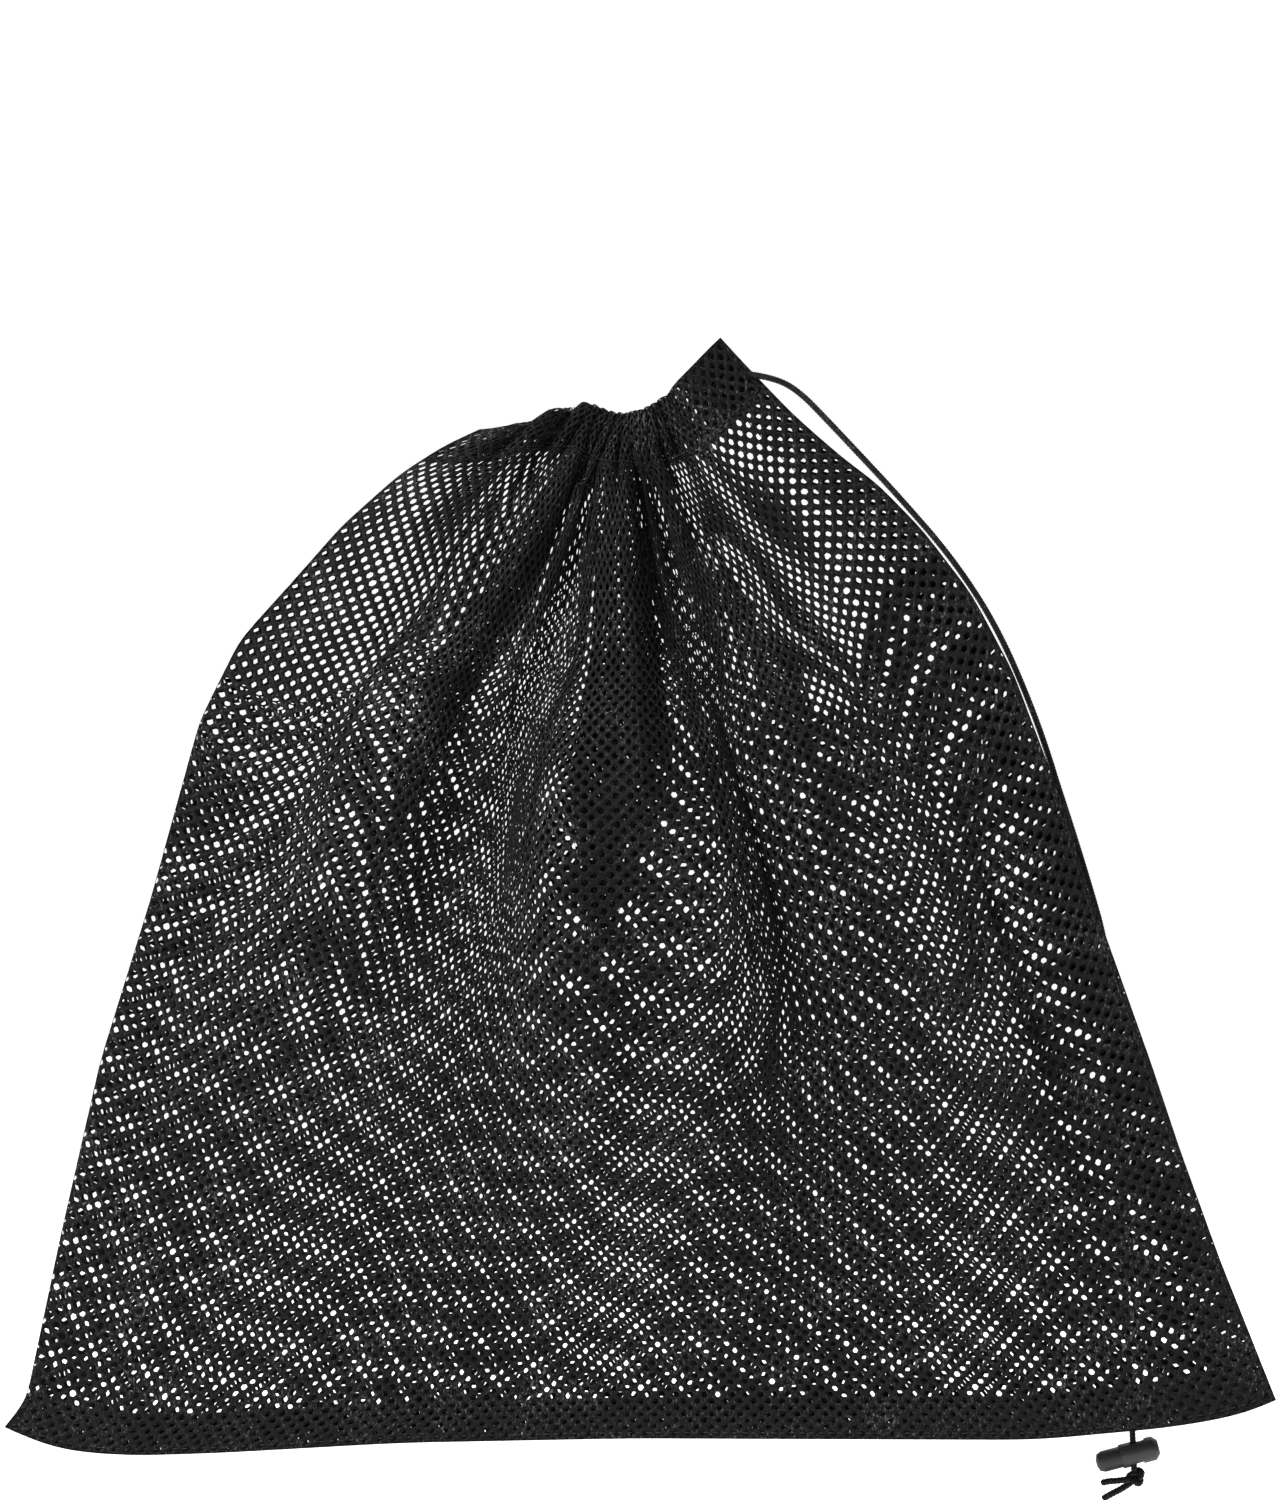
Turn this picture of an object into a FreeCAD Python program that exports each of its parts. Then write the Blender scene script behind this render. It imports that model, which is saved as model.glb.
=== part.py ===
"""Mesh drawstring laundry bag, held up by its gathered neck.

Frame: millimetres, +Z up, +X towards the side seam, front of the bag towards -Y.
The origin is the point where the front and back hems are pinched together at the neck.
"""
import FreeCAD, Part
import math
import os
import Sketcher
from FreeCAD import Rotation, Vector

doc = FreeCAD.newDocument("mesh_laundry_bag")

# ---------------------------------------------------------------- driving dimensions (mm, degrees)
SIZES = [
    ("cloth_thickness", 0.6, "one ply of mesh"),
    ("base_left", 196.0, "left fold to origin, at the base"),
    ("base_right", 199.5, "side seam to origin, at the base"),
    ("drop_left", 314.0, "origin down to the base, at the left fold"),
    ("drop_right", 306.0, "origin down to the base, at the side seam"),
    ("belly_front", 40.0, "furthest reach of the front wall"),
    ("belly_back", 26.0, "furthest reach of the back wall"),
    ("hem_height", 20.0, "height of the drawcord tunnel"),
    ("hem_below", 8.0, "part of the hem below the pinch"),
    ("hem_tilt", 20.0, "slope of the gathered hem, rising to the seam"),
    ("tunnel_play", 0.2, "clearance of the drawcord inside the hem, each side"),
    ("allowance", 13.0, "cloth turned in at the seams"),
    ("thread_diameter", 0.4, "sewing thread"),
    ("cord_diameter", 2.0, "drawcord"),
    ("knot_radius", 2.7, "overhand knot"),
    ("lock_tilt", 15.0, "slope of the cord lock"),
    ("bore_radius", 3.45, "bore that the plunger runs in"),
    ("barrel_wall", 0.45, "wall round the bore"),
    ("barrel_left", 5.3, "cord hole centre to the open end"),
    ("barrel_right", 7.0, "cord hole centre to the closed end"),
    ("barrel_floor", 1.0, "thickness of the closed end"),
    ("barrel_edge", 1.6, "rounding of the closed end"),
    ("plunger_play", 0.05, "radial clearance of the plunger"),
    ("plunger_head", 8.0, "plunger standing out of the barrel"),
    ("plunger_dome", 2.2, "rounding of the plunger's outer end"),
    ("plunger_inner", 2.2, "cord hole centre to the plunger's inner end"),
    ("plunger_edge", 0.4, "chamfer of the plunger's inner end"),
    ("plunger_travel", 2.3, "press that opens the lock"),
    ("slot_width", 4.4, "cord hole of the barrel, along the lock"),
    ("cord_play", 0.05, "half the gap between two strands, and play along the lock"),
    ("slot_side_play", 0.2, "clearance of a strand from the side of the cord hole"),
    ("spring_wire", 0.35, "spring wire diameter"),
    ("spring_radius", 2.2, "spring coil mean radius"),
    ("spring_turns", 3.0, "free coils"),
]
sheet = doc.addObject("Spreadsheet::Sheet", "Sizes")
for row, (alias, value, meaning) in enumerate(SIZES, start=1):
    sheet.set(f"A{row}", str(value))
    sheet.setAlias(f"A{row}", alias)
    sheet.set(f"B{row}", meaning)
doc.recompute()


def size(alias):
    """One driving dimension as a plain number."""
    return float(getattr(sheet, alias))


WALL = size("cloth_thickness")
CORD = size("cord_diameter")
TUNNEL = CORD + 2 * size("tunnel_play")       # clear width inside the hem
BAND = 2 * WALL + TUNNEL                      # hem, outside to outside
PLY = BAND / 2                                # hem centre line to its outer face


def feature(name, shape, placement=None):
    """A named sub-part whose shape is worked out here from the sheet."""
    part = doc.addObject("Part::Feature", name)
    part.Label = name
    part.Shape = shape
    if placement is not None:
        part.Placement = placement
    return part


# ---------------------------------------------------------------- routes of runs and tangent arcs
def rounded_route(points, name=None):
    """A wire through the points: straight runs joined by arcs as large as the runs allow."""
    edges, start, radii = [], points[0], []
    for before, corner, after in zip(points, points[1:], points[2:]):
        back, ahead = before - corner, after - corner
        reach = 0.45 * min(back.Length, ahead.Length)
        half_turn = (math.pi - back.getAngle(ahead)) / 2
        radii.append(reach / math.tan(half_turn))
        tangent_in = corner + back.normalize() * reach
        tangent_out = corner + ahead.normalize() * reach
        bisector = (back + ahead).normalize()
        middle = corner + bisector * (radii[-1] / math.cos(half_turn) - radii[-1])
        edges.append(Part.LineSegment(start, tangent_in).toShape())
        edges.append(Part.Arc(tangent_in, middle, tangent_out).toShape())
        start = tangent_out
    edges.append(Part.LineSegment(start, points[-1]).toShape())
    wire = Part.Wire(edges)
    if name:
        print(f"{name}: length {wire.Length:.1f} mm, radii",
              " ".join(f"{radius:.1f}" for radius in radii))
    return wire


def swept(profile, path):
    """A solid made by carrying one closed profile along a path."""
    return path.makePipeShell([profile], True, False)


def tube(path, diameter, name):
    """A round cord along a wire; its volume is compared with section times length."""
    first = path.OrderedEdges[0]
    start = first.valueAt(first.FirstParameter)
    circle = Part.Wire(Part.makeCircle(diameter / 2, start, first.tangentAt(first.FirstParameter)))
    solid = swept(circle, path)
    expected = math.pi * diameter ** 2 / 4 * path.Length
    if abs(solid.Volume / expected - 1) > 0.01:
        raise ValueError(f"{name}: tube volume {solid.Volume:.1f}, expected {expected:.1f}")
    return solid


# ---------------------------------------------------------------- hem: the drawcord tunnel
# Centre line of the front hem from the left fold to the cord exit, in the hem's own plane:
# it swells into a mouth lobe each side of the pinch and closes at the side seam.
HEM_EXIT = 42.0
HEM_FRONT = [(-46, 0), (-46, -7), (-36, -11), (-20, -10), (-6, -PLY), (8, -PLY),
             (20, -9.5), (31, -6.5), (37, -PLY), (HEM_EXIT, -PLY)]
CORD_LEVEL = size("hem_height") / 2 - size("hem_below")
HEM_PLACEMENT = FreeCAD.Placement(Vector(0, 0, 0), Rotation(Vector(0, 1, 0), -size("hem_tilt")))


def hem_line(side, level=0.0):
    """Centre line points of one hem half; side is 1 in front and -1 behind."""
    return [Vector(x, side * y, level) for x, y in HEM_FRONT]


def upright_rectangle(start, thickness, low, high):
    """Profile at the left fold, across the hem, from height low to height high."""
    inner, outer = start.x - thickness / 2, start.x + thickness / 2
    corners = [Vector(inner, 0, low), Vector(outer, 0, low),
               Vector(outer, 0, high), Vector(inner, 0, high)]
    return Part.makePolygon(corners + corners[:1])


def hem_half(name, side):
    """Half of the hem: a band of two plies round a hollow tunnel, open at both ends."""
    low = -size("hem_below")
    high = low + size("hem_height")
    points = hem_line(side)
    band = swept(upright_rectangle(points[0], BAND, low, high), rounded_route(points))
    tunnel = swept(upright_rectangle(points[0], TUNNEL, low + WALL, high - WALL),
                   rounded_route(points))
    return feature(name, band.cut(tunnel), HEM_PLACEMENT)


def hem_thread(name, side):
    """The row of stitching that closes the tunnel, seen on the outer ply."""
    thread = size("thread_diameter")
    level = WALL - size("hem_below")
    points = hem_line(side, level)
    centre = Vector(points[0].x - PLY - thread / 2, 0, level)
    circle = Part.Wire(Part.makeCircle(thread / 2, centre, Vector(0, 1, 0)))
    return feature(name, swept(circle, rounded_route(points)), HEM_PLACEMENT)


# ---------------------------------------------------------------- front and back walls
# Each level: how far the left and right edges have gone outwards and down, as shares of the
# way from the neck to the base, then the depth of the side lobes and of the middle as shares
# of the belly.
LEVELS = [
    (0.000, 0.000, 0.000, 0.000, 0.32, 0.10),
    (0.241, 0.037, 0.146, 0.049, 0.50, 0.24),
    (0.447, 0.119, 0.319, 0.132, 0.68, 0.45),
    (0.601, 0.245, 0.499, 0.272, 0.83, 0.70),
    (0.717, 0.433, 0.638, 0.482, 0.95, 0.93),
    (0.846, 0.672, 0.796, 0.704, 1.00, 1.00),
    (0.936, 0.860, 0.920, 0.882, 0.82, 0.83),
    (0.981, 0.952, 0.975, 0.955, 0.40, 0.40),
    (1.000, 1.000, 1.000, 1.000, 0.00, 0.00),
]
# Control points across a wall: share of the width, share of lobe depth, share of middle depth.
ACROSS = [(0.00, 0.00, 0.0), (0.00, 0.55, 0.0), (0.10, 1.00, 0.0), (0.27, 1.00, 0.0),
          (0.44, 0.00, 1.0), (0.56, 0.00, 1.0), (0.75, 1.00, 0.0), (0.92, 0.90, 0.0),
          (1.00, 0.50, 0.0), (1.00, 0.00, 0.0)]


def hem_point(x):
    """A point of the hem's lower edge, in the bag's frame."""
    return HEM_PLACEMENT.multVec(Vector(x, 0, -size("hem_below")))


def edge_points():
    """The left fold and the side seam, one point of each at every level."""
    left_top = hem_point(HEM_FRONT[0][0] - PLY)
    right_top = hem_point(HEM_EXIT)
    left_base = Vector(-size("base_left"), 0, -size("drop_left"))
    right_base = Vector(size("base_right"), 0, -size("drop_right"))
    lefts, rights = [], []
    for left_out, left_down, right_out, right_down, _lobe, _middle in LEVELS:
        lefts.append(Vector(left_top.x + (left_base.x - left_top.x) * left_out, 0,
                            left_top.z + (left_base.z - left_top.z) * left_down))
        rights.append(Vector(right_top.x + (right_base.x - right_top.x) * right_out, 0,
                             right_top.z + (right_base.z - right_top.z) * right_down))
    return lefts, rights


def wall_section(left, right, lobe, middle, side):
    """Closed outline of one ply at one level: outer curve, inner curve and two end lines."""
    outer, inner = [], []
    inset = (right - left).normalize() * WALL
    for place, lobe_share, middle_share in ACROSS:
        depth = max(lobe_share * lobe + middle_share * middle, 0)
        on_edge = lobe_share == 0 and middle_share == 0
        outer_depth = 0 if on_edge else max(depth, WALL)
        inner_depth = 0 if on_edge else max(outer_depth - WALL, 0)
        shift = inset * (1 - 2 * place) if place in (0, 1) else Vector()
        spot = left + (right - left) * place
        outer.append(spot + Vector(0, -side * outer_depth, 0))
        inner.append(spot + shift + Vector(0, -side * inner_depth, 0))
    curves = []
    for poles in (outer, inner[::-1]):
        curve = Part.BSplineCurve()
        curve.buildFromPoles(poles)
        curves.append(curve.toShape())
    return Part.Wire([curves[0], Part.LineSegment(outer[-1], inner[-1]).toShape(),
                      curves[1], Part.LineSegment(inner[0], outer[0]).toShape()])


def wall(name, side, belly):
    """Front or back wall: one ply lofted from the hem down to the flat base seam."""
    lefts, rights = edge_points()
    sections = [wall_section(left, right, level[4] * belly, level[5] * belly, side)
                for left, right, level in zip(lefts, rights, LEVELS)]
    return feature(name, Part.makeLoft(sections, True, True))


# ---------------------------------------------------------------- seam allowances and threads
def flat_strip(outline, thickness):
    """A strip standing in the plane between the two walls."""
    face = Part.Face(Part.makePolygon(outline + outline[:1]))
    face.translate(Vector(0, -thickness / 2, 0))
    return face.extrude(Vector(0, thickness, 0))


def seam_allowances():
    """Two plies turned in along the base and up the side seam, standing inside the walls."""
    lefts, rights = edge_points()
    turn_in = size("allowance")
    base = (rights[-1] - lefts[-1]).normalize() * 8 * WALL
    fold = Vector(0, 0, 3 * WALL)
    rise = Vector(0, 0, turn_in)
    base_left, base_right = lefts[-1] + base + fold, rights[-1] - base + fold
    base_strip = flat_strip([base_left, base_right, base_right + rise, base_left + rise],
                            2 * WALL)
    seam = [point - Vector(3 * WALL, 0, 0) for point in rights[1:-1]]
    side_strip = flat_strip(seam + [point - Vector(turn_in, 0, 0) for point in seam[::-1]],
                            2 * WALL)
    feature("bottom_seam_allowance", base_strip)
    feature("side_seam_allowance", side_strip.cut(base_strip))


def seam_thread(name, points):
    """A line of stitching lying on the front of a seam allowance."""
    thread = size("thread_diameter")
    on_face = Vector(0, -WALL - thread / 2, 0)
    return feature(name, tube(rounded_route([point + on_face for point in points], name),
                              thread, name))


def seam_threads():
    """Stitch lines along the side seam and the base seam."""
    lefts, rights = edge_points()
    stitch_inset = 4 * WALL
    in_from_seam = Vector(-3 * WALL - stitch_inset, 0, 0)
    seam_thread("side_seam_thread", [point + in_from_seam for point in rights[1:-2]])
    lift = Vector(0, 0, 2 * stitch_inset)
    base = rights[-1] - lefts[-1]
    sag = Vector(0, 0, -WALL)
    seam_thread("bottom_seam_thread", [lefts[-1] + base * 0.06 + lift,
                                       lefts[-1] + base * 0.5 + lift + sag,
                                       lefts[-1] + base * 0.94 + lift])


# ---------------------------------------------------------------- drawcord
# Middle of the strand pair after it leaves the hem, to the top of the long straight hang.
FREE_ROUTE = [(44.4, 0.0, 18.3), (52.5, 0.0, 15.6), (62.4, 0.2, 5.4), (72.4, 0.8, -5.2),
              (84.4, 1.6, -18.0), (101.0, 3.0, -37.0), (115.0, 4.5, -58.4),
              (126.6, 6.5, -85.0), (134.8, 9.0, -109.5), (140.2, 12.5, -132.0),
              (146.2, 18.5, -162.0), (151.4, 25.0, -190.0), (154.0, 28.0, -213.0)]
HANG_END = Vector(159.3, 28.0, -325.4)        # where the strands run into the knot
LOCK_DROP = -319.1                            # height at which the strands cross the lock
PAIR_GAP = 1.3                                # strand centre to the pair's middle, where free
LOCK_GAP = CORD / 2 + size("cord_play")       # the same inside the cord lock


def strand(name, side):
    """One free strand from the hem's mouth through the cord lock to the knot."""
    exit_point = HEM_PLACEMENT.multVec(Vector(HEM_EXIT, -side * PLY, CORD_LEVEL))
    points = [exit_point]
    for x, y, z in FREE_ROUTE[:-1]:
        points.append(Vector(x, y - side * PAIR_GAP, z))
    for spot in (Vector(*FREE_ROUTE[-1]), HANG_END):
        points.append(spot + Vector(0, -side * LOCK_GAP, 0))
    return feature(name, tube(rounded_route(points, name), CORD, name))


def cord_in_hem():
    """The loop of cord inside the tunnel, from one strand round the left fold to the other."""
    front = rounded_route(hem_line(1, CORD_LEVEL)[::-1], "drawcord in the front hem")
    back = rounded_route(hem_line(-1, CORD_LEVEL), "drawcord in the back hem")
    whole = Part.Wire(front.OrderedEdges + back.OrderedEdges)
    return feature("drawcord_in_hem", tube(whole, CORD, "drawcord_in_hem"), HEM_PLACEMENT)


def knot_and_tails():
    """The overhand knot under the cord lock and the two cut tails."""
    radius = size("knot_radius")
    centre = HANG_END + Vector(0.6, -0.4, -1.0)
    knot = doc.addObject("Part::Ellipsoid", "end_knot")
    knot.Label = "end_knot"
    knot.setExpression("Radius1", "Sizes.knot_radius")
    knot.setExpression("Radius2", "Sizes.knot_radius * 1.1")
    knot.setExpression("Radius3", "Sizes.knot_radius")
    knot.Placement = FreeCAD.Placement(centre, Rotation())
    outside = 0.8 * radius
    upper = [centre + Vector(-outside, -1.2, -0.6), centre + Vector(-6.0, -1.8, -1.2),
             centre + Vector(-8.8, -1.7, -1.2), centre + Vector(-11.2, -1.4, -1.9)]
    lower = [centre + Vector(-outside + 1.0, 1.2, -1.6), centre + Vector(-4.5, 1.6, -4.0),
             centre + Vector(-7.5, 1.8, -5.4), centre + Vector(-10.6, 1.6, -7.2)]
    for name, points in (("drawcord_upper_tail", upper), ("drawcord_lower_tail", lower)):
        feature(name, tube(rounded_route(points, name), CORD, name))


# ---------------------------------------------------------------- cord lock
HANG_TOP = Vector(*FREE_ROUTE[-1])
SLIDE = (HANG_TOP - HANG_END).normalize()      # the way the lock runs along the strands
LOCK_AXIS = Vector(math.cos(math.radians(size("lock_tilt"))), 0,
                   math.sin(math.radians(size("lock_tilt"))))
SLOT_LEAN = 90 - math.degrees(SLIDE.getAngle(LOCK_AXIS))
CORD_OFFSET = (size("slot_width") - CORD) / 2  # the strands lie against one side of the hole
STRANDS_AT_LOCK = HANG_END + SLIDE * ((LOCK_DROP - HANG_END.z) / SLIDE.z)
LOCK_CENTRE = STRANDS_AT_LOCK + LOCK_AXIS * CORD_OFFSET
LOCK_PLACEMENT = FreeCAD.Placement(LOCK_CENTRE, Rotation(Vector(0, 1, 0), -size("lock_tilt")))
BARREL_OUTSIDE = "(Sizes.bore_radius + Sizes.barrel_wall)"
SLOT_DEPTH = "2 * (Sizes.cord_diameter + Sizes.cord_play + Sizes.slot_side_play)"
# The plunger's hole holds the strands at rest and still clears them when fully pressed.
PLUNGER_SLOT = "(Sizes.cord_diameter + Sizes.plunger_travel + 2 * Sizes.cord_play)"
PLUNGER_SLOT_PLACE = ("((Sizes.cord_diameter - Sizes.slot_width - Sizes.plunger_travel) / 2"
                      " + Sizes.cord_play)")


def origin_feature(body, role):
    """One of a body's own origin planes or axes."""
    return next(item for item in body.Origin.OriginFeatures if item.Role == role)


def polygon_sketch(body, name, corners):
    """A closed polygon on the body's XZ plane, each corner placed by two expressions."""
    sketch = body.newObject("Sketcher::SketchObject", name)
    sketch.AttachmentSupport = (origin_feature(body, "XZ_Plane"), [""])
    sketch.MapMode = "FlatFace"
    places = [[float(sheet.evalExpression(formula)) for formula in corner] for corner in corners]
    for (x_start, z_start), (x_end, z_end) in zip(places, places[1:] + places[:1]):
        sketch.addGeometry(Part.LineSegment(Vector(x_start, z_start, 0), Vector(x_end, z_end, 0)))
    for index, (corner, place) in enumerate(zip(corners, places)):
        sketch.addConstraint(Sketcher.Constraint(
            "Coincident", index, 2, (index + 1) % len(corners), 1))
        for kind, formula, value in zip(("DistanceX", "DistanceY"), corner, place):
            number = sketch.addConstraint(Sketcher.Constraint(kind, -1, 1, index, 1, value))
            sketch.setExpression(f"Constraints[{number}]", formula)
    return sketch


def turned_body(name, corners):
    """A body turned about its own X axis."""
    body = doc.addObject("PartDesign::Body", name)
    body.Label = name
    turned = body.newObject("PartDesign::Revolution", name + "_turned")
    turned.Profile = polygon_sketch(body, name + "_profile", corners)
    turned.ReferenceAxis = (origin_feature(body, "X_Axis"), [""])
    turned.Angle = 360
    body.Placement = LOCK_PLACEMENT
    return body


def cord_slot(body, name, width, place):
    """The cord hole, parallel to the strands so that the lock can run along them."""
    lean = f"tan({SLOT_LEAN:.9f})"
    reach = f"{BARREL_OUTSIDE} * 1.5"
    half = f"({width} / 2 / cos({SLOT_LEAN:.9f}))"
    corners = [(f"{place} - {half} - {reach} * {lean}", f"-{reach}"),
               (f"{place} + {half} - {reach} * {lean}", f"-{reach}"),
               (f"{place} + {half} + {reach} * {lean}", f"{reach}"),
               (f"{place} - {half} + {reach} * {lean}", f"{reach}")]
    slot = body.newObject("PartDesign::Pocket", name)
    slot.Profile = polygon_sketch(body, name + "_outline", corners)
    slot.SideType = "Symmetric"
    slot.setExpression("Length", SLOT_DEPTH)
    return slot


def cord_lock():
    """Spring cord lock: an open barrel, a sprung plunger and the spring between them."""
    barrel = turned_body("lock_barrel", [
        ("-Sizes.barrel_left", "Sizes.bore_radius"),
        ("-Sizes.barrel_left", BARREL_OUTSIDE),
        ("Sizes.barrel_right - Sizes.barrel_edge", BARREL_OUTSIDE),
        ("Sizes.barrel_right", f"{BARREL_OUTSIDE} - Sizes.barrel_edge"),
        ("Sizes.barrel_right", "0"),
        ("Sizes.barrel_right - Sizes.barrel_floor", "0"),
        ("Sizes.barrel_right - Sizes.barrel_floor", "Sizes.bore_radius - Sizes.barrel_edge / 2"),
        ("Sizes.barrel_right - Sizes.barrel_edge", "Sizes.bore_radius"),
    ])
    cord_slot(barrel, "barrel_cord_hole", "Sizes.slot_width", "0")
    head = "-Sizes.barrel_left - Sizes.plunger_head"
    running = "Sizes.bore_radius - Sizes.plunger_play"
    plunger = turned_body("lock_plunger", [
        (head, "0"),
        (head, f"{running} - Sizes.plunger_dome"),
        (f"{head} + Sizes.plunger_dome * 0.3", f"{running} - Sizes.plunger_dome * 0.3"),
        (f"{head} + Sizes.plunger_dome", running),
        ("Sizes.plunger_inner - Sizes.plunger_edge", running),
        ("Sizes.plunger_inner", f"{running} - Sizes.plunger_edge"),
        ("Sizes.plunger_inner", "0"),
    ])
    cord_slot(plunger, "plunger_cord_hole", PLUNGER_SLOT, PLUNGER_SLOT_PLACE)
    wire = size("spring_wire")
    start = size("plunger_inner") + wire / 2
    length = size("barrel_right") - size("barrel_floor") - size("plunger_inner") - wire
    helix = Part.makeHelix(length / size("spring_turns"), length, size("spring_radius"))
    circle = Part.Wire(Part.makeCircle(wire / 2, Vector(size("spring_radius"), 0, 0),
                                       Vector(0, 1, 0)))
    coil = Part.Wire(helix.Edges).makePipeShell([circle], True, True)
    along = FreeCAD.Placement(Vector(start, 0, 0), Rotation(Vector(0, 1, 0), 90))
    feature("lock_spring", coil, LOCK_PLACEMENT.multiply(along))


# ---------------------------------------------------------------- the whole bag
wall("front_wall", 1, size("belly_front"))
wall("back_wall", -1, size("belly_back"))
hem_half("front_hem", 1)
hem_half("back_hem", -1)
seam_allowances()
seam_threads()
hem_thread("front_hem_thread", 1)
hem_thread("back_hem_thread", -1)
cord_in_hem()
strand("drawcord_front_strand", 1)
strand("drawcord_back_strand", -1)
knot_and_tails()
cord_lock()
doc.recompute()

# ---------------------------------------------------------------- check and write
NODES = ["front_wall", "back_wall", "front_hem", "back_hem", "side_seam_allowance",
         "bottom_seam_allowance", "side_seam_thread", "bottom_seam_thread",
         "front_hem_thread", "back_hem_thread", "drawcord_in_hem", "drawcord_front_strand",
         "drawcord_back_strand", "end_knot", "drawcord_upper_tail", "drawcord_lower_tail",
         "lock_barrel", "lock_plunger", "lock_spring"]
for item in doc.Objects:
    if "Invalid" in item.State or "Error" in item.State:
        raise ValueError(f"{item.Name} failed: {item.State}")
os.makedirs("parts", exist_ok=True)
for name in NODES:
    shape = doc.getObjectsByLabel(name)[0].Shape
    if shape.isNull() or not shape.isValid() or not shape.Solids:
        raise ValueError(f"{name} has no valid solid")
    shape.exportStep(f"parts/{name}.step")
    box = shape.BoundBox
    print(f"{name}: {len(shape.Solids)} solid, {shape.Volume:.1f} mm3,"
          f" x {box.XMin:.1f} {box.XMax:.1f} y {box.YMin:.1f} {box.YMax:.1f}"
          f" z {box.ZMin:.1f} {box.ZMax:.1f}")
print("slide axis", SLIDE, "lock axis", LOCK_AXIS, "lock centre", LOCK_CENTRE)
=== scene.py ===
"""Looks of the mesh drawstring laundry bag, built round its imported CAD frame. Metres, +Z up."""
import math

import bpy
import numpy as np
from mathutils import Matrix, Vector


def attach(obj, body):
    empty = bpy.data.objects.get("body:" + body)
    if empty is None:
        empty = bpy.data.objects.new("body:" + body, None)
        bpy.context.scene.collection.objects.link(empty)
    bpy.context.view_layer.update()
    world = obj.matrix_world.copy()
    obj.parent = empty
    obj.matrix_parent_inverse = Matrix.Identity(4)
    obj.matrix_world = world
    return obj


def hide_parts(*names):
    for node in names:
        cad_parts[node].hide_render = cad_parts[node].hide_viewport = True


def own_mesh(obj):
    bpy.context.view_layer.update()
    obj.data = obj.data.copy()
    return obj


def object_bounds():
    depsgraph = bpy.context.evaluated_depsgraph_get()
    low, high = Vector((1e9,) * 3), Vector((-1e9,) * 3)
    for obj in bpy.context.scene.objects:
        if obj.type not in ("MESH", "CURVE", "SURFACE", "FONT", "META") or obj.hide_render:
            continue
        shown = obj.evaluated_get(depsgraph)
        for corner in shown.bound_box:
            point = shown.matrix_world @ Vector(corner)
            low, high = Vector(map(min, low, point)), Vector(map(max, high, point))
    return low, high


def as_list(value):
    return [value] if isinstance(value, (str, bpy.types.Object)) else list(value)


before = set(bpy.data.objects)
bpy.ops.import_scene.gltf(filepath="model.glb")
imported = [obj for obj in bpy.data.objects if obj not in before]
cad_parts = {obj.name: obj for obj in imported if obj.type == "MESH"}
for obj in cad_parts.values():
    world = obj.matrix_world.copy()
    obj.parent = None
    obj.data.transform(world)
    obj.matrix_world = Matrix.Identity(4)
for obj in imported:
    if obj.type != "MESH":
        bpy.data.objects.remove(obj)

CAD_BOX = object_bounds()
MM = 0.001
FRONT, BACK = 1, -1                      # the front of the bag faces -Y
SCENE = bpy.context.scene

# ---------------------------------------------------------------- camera, backdrop and lights
CAMERA_AWAY = 2.6
VIEW_HEIGHT = 0.46875
VIEW_CENTRE = (0.003, -0.0969)           # across and up
FLOOR_DROP = 0.05                        # clear height under the cord's tails
FLOOR_GLOW, SURROUND = 0.61, 0.2         # the paper is lit from behind, the room is dimmer


def add_camera():
    data = bpy.data.cameras.new("camera")
    data.lens = data.sensor_width * CAMERA_AWAY / VIEW_HEIGHT
    data.clip_start, data.clip_end = 0.05, 60
    camera = bpy.data.objects.new("camera", data)
    camera.location = (VIEW_CENTRE[0], -CAMERA_AWAY, VIEW_CENTRE[1])
    camera.rotation_euler = (math.pi / 2, 0, 0)
    SCENE.collection.objects.link(camera)
    SCENE.camera = camera


def add_floor():
    """A pale sweep: flat floor that curves up into a backdrop a long way behind."""
    level = CAD_BOX[0].z - FLOOR_DROP
    half, bend, steps = 9.0, 3.0, 24
    profile = [(-half, 0.0)]
    profile += [(half - bend + bend * math.sin(t), bend - bend * math.cos(t))
                for t in np.linspace(0, math.pi / 2, steps)]
    profile += [(half, half)]
    points = [(x, y, level + z) for y, z in profile for x in (-half, half)]
    faces = [(i, i + 1, i + 3, i + 2) for i in range(0, len(points) - 2, 2)]
    data = bpy.data.meshes.new("floor")
    data.from_pydata(points, [], faces)
    data.polygons.foreach_set("use_smooth", [True] * len(faces))
    floor = bpy.data.objects.new("floor", data)
    SCENE.collection.objects.link(floor)
    material = bpy.data.materials.new("pale_paper")
    material.use_nodes = True
    shader = material.node_tree.nodes["Principled BSDF"]
    shader.inputs["Base Color"].default_value = (0.93, 0.93, 0.93, 1)
    shader.inputs["Roughness"].default_value = 0.9
    shader.inputs["Specular IOR Level"].default_value = 0.1
    shader.inputs["Emission Color"].default_value = (1, 1, 1, 1)
    shader.inputs["Emission Strength"].default_value = FLOOR_GLOW
    data.materials.append(material)


def add_light(name, place, size, watts):
    data = bpy.data.lights.new(name, "AREA")
    data.shape, data.size, data.energy = "DISK", size, watts
    light = bpy.data.objects.new(name, data)
    light.location = place
    aim = Vector((0, 0, -0.16)) - Vector(place)
    light.rotation_euler = aim.to_track_quat("-Z", "Y").to_euler()
    SCENE.collection.objects.link(light)


def add_studio():
    world = bpy.data.worlds.new("studio")
    world.use_nodes = True
    world.node_tree.nodes["Background"].inputs["Color"].default_value = (1, 1, 1, 1)
    world.node_tree.nodes["Background"].inputs["Strength"].default_value = SURROUND
    SCENE.world = world
    SCENE.view_settings.view_transform = "Standard"
    add_light("key", (-1.3, -1.6, 1.5), 0.7, 100)
    add_light("fill", (1.7, -1.6, 0.3), 1.4, 8)
    add_light("rim", (0.5, 1.6, 1.6), 1.0, 22)


add_camera()
add_floor()
add_studio()


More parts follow.
